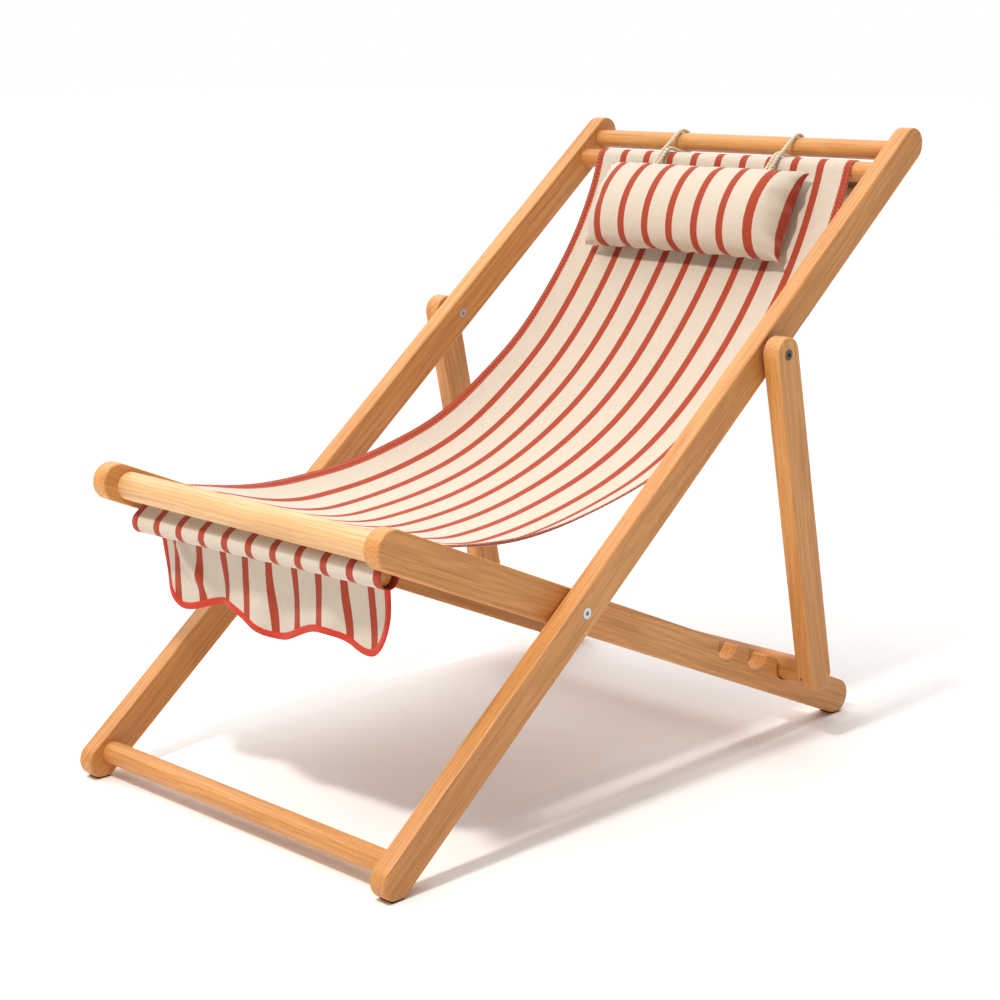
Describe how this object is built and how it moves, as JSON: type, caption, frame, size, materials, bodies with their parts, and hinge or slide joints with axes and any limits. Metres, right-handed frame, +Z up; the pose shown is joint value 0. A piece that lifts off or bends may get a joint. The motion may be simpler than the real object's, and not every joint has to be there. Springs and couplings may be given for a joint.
{
  "type": "folding sling chair",
  "caption": "Folding wooden beach chair with a striped canvas sling seat, a scalloped front valance, a hanging head pillow and a notched recline prop.",
  "frame": {"origin": "centre of the footprint on the ground", "axes": "+Z up, +Y towards the back of the chair, +X to the right of someone looking at its front"},
  "size_m": [0.6206, 0.988, 0.7976],
  "materials": {
    "teak": "oiled, open grain",
    "pale_teak": "oiled, paler stock",
    "canvas": "woven cotton canvas with red-brown stripes",
    "binding": "woven cotton tape",
    "rope": "twisted cotton",
    "steel": "plated, satin",
    "rubber": "matt"
  },
  "bodies": {
    "back_frame": {"back_rail_left": "teak", "back_rail_right": "teak", "top_rail": "teak", "top_sling_bar": "teak", "bottom_rail": "teak", "seat_pivot_bolt_left": "steel", "seat_pivot_bolt_right": "steel", "seat_pivot_nut_left": "steel", "seat_pivot_nut_right": "steel", "seat_pivot_washer_left": "steel", "seat_pivot_washer_right": "steel", "prop_pivot_bolt_left": "steel", "prop_pivot_bolt_right": "steel", "prop_pivot_nut_left": "steel", "prop_pivot_nut_right": "steel", "prop_pivot_washer_left": "steel", "prop_pivot_washer_right": "steel", "ground_pad_front_left": "rubber", "ground_pad_front_right": "rubber", "sling": "canvas", "rear_sleeve": "canvas", "rear_sleeve_dowel": "teak", "pillow": "canvas", "pillow_loop_left": "rope", "pillow_loop_right": "rope"},
    "seat_frame": {"seat_rail_left": "teak", "seat_rail_right": "teak", "front_bar": "pale_teak", "front_sling_bar": "teak", "front_sleeve": "canvas", "front_sleeve_dowel": "teak", "valance": "canvas", "valance_binding": "binding", "ground_pad_rear_left": "rubber", "ground_pad_rear_right": "rubber"},
    "prop_frame": {"prop_leg_left": "teak", "prop_leg_right": "teak", "prop_crossbar": "teak", "crossbar_pin_left": "steel", "crossbar_pin_right": "steel"}
  },
  "joints": [
    {"name": "fold", "type": "hinge", "parent": "back_frame", "child": "seat_frame", "pos_m": [0, -0.17233, 0.26126], "axis": [-1, 0, 0], "range_deg": [0, 112], "deforming": ["sling"]},
    {"name": "prop_swing", "type": "hinge", "parent": "back_frame", "child": "prop_frame", "pos_m": [0, 0.16412, 0.52984], "axis": [-1, 0, 0], "range_deg": [0, 56]}
  ],
  "couplings": [
    {"joint": "prop_swing", "follows": "fold", "ratio": 0.5}
  ]
}
